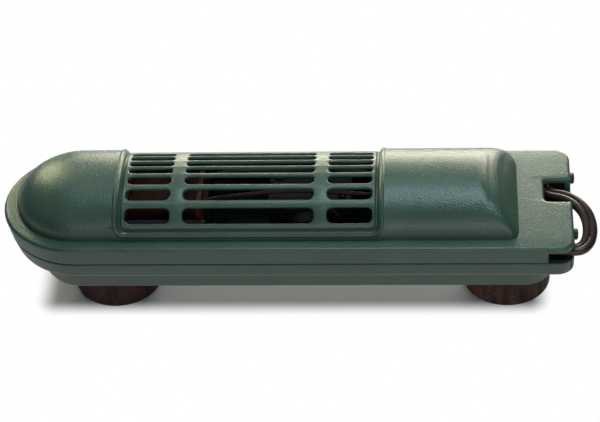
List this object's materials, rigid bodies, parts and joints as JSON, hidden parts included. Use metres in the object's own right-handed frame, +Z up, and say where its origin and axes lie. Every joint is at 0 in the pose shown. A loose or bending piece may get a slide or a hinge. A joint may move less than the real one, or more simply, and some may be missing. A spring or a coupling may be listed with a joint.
{
  "type": "aquarium air pump",
  "caption": "Long low vented housing on round rubber feet; an electromagnet swings arms that work diaphragms on a valve box, with a barbed air outlet and a mains cord.",
  "frame": {"origin": "bottom centre of the housing with its feet and screw heads, without the cord", "axes": "+X along the housing to the cord end, -Y the front in the picture, +Z up"},
  "size_m": [0.2598, 0.1117, 0.0629],
  "materials": {
    "cover_green": "pebbled green moulded plastic",
    "base_green": "darker green moulded plastic",
    "foot_rubber": "dark brown moulded rubber",
    "dark_screw": "black screw",
    "zinc_screw": "zinc plated steel",
    "core_iron": "stacked iron laminations",
    "red_moulding": "brick red moulding",
    "copper_winding": "varnished copper wire, wound",
    "grey_moulding": "grey moulding",
    "soft_rubber": "soft black rubber",
    "magnet": "sintered ferrite",
    "hose": "grey flexible hose",
    "pale_wire": "pale insulated wire",
    "cord_brown": "glossy dark brown cord",
    "tie_white": "white tie",
    "blade_metal": "nickel plated blade"
  },
  "bodies": {
    "housing": {"top_cover": "cover_green", "base_shell": "base_green", "foot_left": "foot_rubber", "foot_right": "foot_rubber", "end_screw_front": "dark_screw", "end_screw_rear": "dark_screw", "foot_screw_left": "zinc_screw", "foot_screw_right": "zinc_screw", "cover_screw_left": "zinc_screw", "cover_screw_front": "zinc_screw", "cover_screw_rear": "zinc_screw", "core_screw_front": "zinc_screw", "core_screw_rear": "zinc_screw", "lid_screw_1": "zinc_screw", "lid_screw_2": "zinc_screw", "valve_box_screw_1": "zinc_screw", "valve_box_screw_2": "zinc_screw", "strap_screw": "zinc_screw", "front_pivot_pin": "zinc_screw", "rear_pivot_pin": "zinc_screw", "core_lamination": "core_iron", "coil_bobbin": "red_moulding", "front_splice": "red_moulding", "rear_splice": "red_moulding", "coil_winding": "copper_winding", "valve_box": "grey_moulding", "valve_box_lid": "grey_moulding", "pivot_strap": "grey_moulding", "outlet_nozzle": "grey_moulding", "front_clamp_ring": "grey_moulding", "rear_clamp_ring": "grey_moulding", "front_diaphragm": "soft_rubber", "rear_diaphragm": "soft_rubber", "air_hose": "hose", "front_coil_lead": "pale_wire", "rear_coil_lead": "pale_wire", "front_conductor": "cord_brown", "rear_conductor": "cord_brown", "strain_relief": "cord_brown", "cord_run": "cord_brown", "cord_hank": "cord_brown", "plug_body": "cord_brown", "cord_tie": "tie_white", "plug_blade_front": "blade_metal", "plug_blade_rear": "blade_metal"},
    "front_arm": {"front_arm": "grey_moulding", "front_magnet": "magnet", "front_hub": "zinc_screw", "front_hub_nut": "zinc_screw"},
    "rear_arm": {"rear_arm": "grey_moulding", "rear_magnet": "magnet", "rear_hub": "zinc_screw", "rear_hub_nut": "zinc_screw"},
    "front_intake_flap": {"front_intake_flap": "soft_rubber"},
    "front_outlet_flap": {"front_outlet_flap": "soft_rubber"},
    "rear_intake_flap": {"rear_intake_flap": "soft_rubber"},
    "rear_outlet_flap": {"rear_outlet_flap": "soft_rubber"}
  },
  "joints": [
    {"name": "front_arm_swing", "type": "hinge", "parent": "housing", "child": "front_arm", "pos_m": [0.046, -0.0194, 0.0391], "axis": [0, 0, 1], "range_deg": [-2.4, 2.4], "stiffness_Nm_per_rad": 0.25, "deforming": ["front_diaphragm"]},
    {"name": "rear_arm_swing", "type": "hinge", "parent": "housing", "child": "rear_arm", "pos_m": [0.046, 0.0194, 0.0391], "axis": [0, 0, 1], "range_deg": [-2.4, 2.4], "stiffness_Nm_per_rad": 0.25, "deforming": ["rear_diaphragm"]},
    {"name": "front_intake_flap_hinge", "type": "hinge", "parent": "housing", "child": "front_intake_flap", "pos_m": [0.00495, -0.0071, 0.04235], "axis": [-1, 0, 0], "range_deg": [0, 15], "stiffness_Nm_per_rad": 0.00002},
    {"name": "front_outlet_flap_hinge", "type": "hinge", "parent": "housing", "child": "front_outlet_flap", "pos_m": [0.01505, -0.0033, 0.04235], "axis": [1, 0, 0], "range_deg": [0, 15], "stiffness_Nm_per_rad": 0.00002},
    {"name": "rear_intake_flap_hinge", "type": "hinge", "parent": "housing", "child": "rear_intake_flap", "pos_m": [0.00495, 0.0071, 0.04235], "axis": [1, 0, 0], "range_deg": [0, 15], "stiffness_Nm_per_rad": 0.00002},
    {"name": "rear_outlet_flap_hinge", "type": "hinge", "parent": "housing", "child": "rear_outlet_flap", "pos_m": [0.01505, 0.0033, 0.04235], "axis": [-1, 0, 0], "range_deg": [0, 15], "stiffness_Nm_per_rad": 0.00002}
  ],
  "couplings": [
    {"joint": "rear_arm_swing", "follows": "front_arm_swing", "ratio": -1}
  ]
}
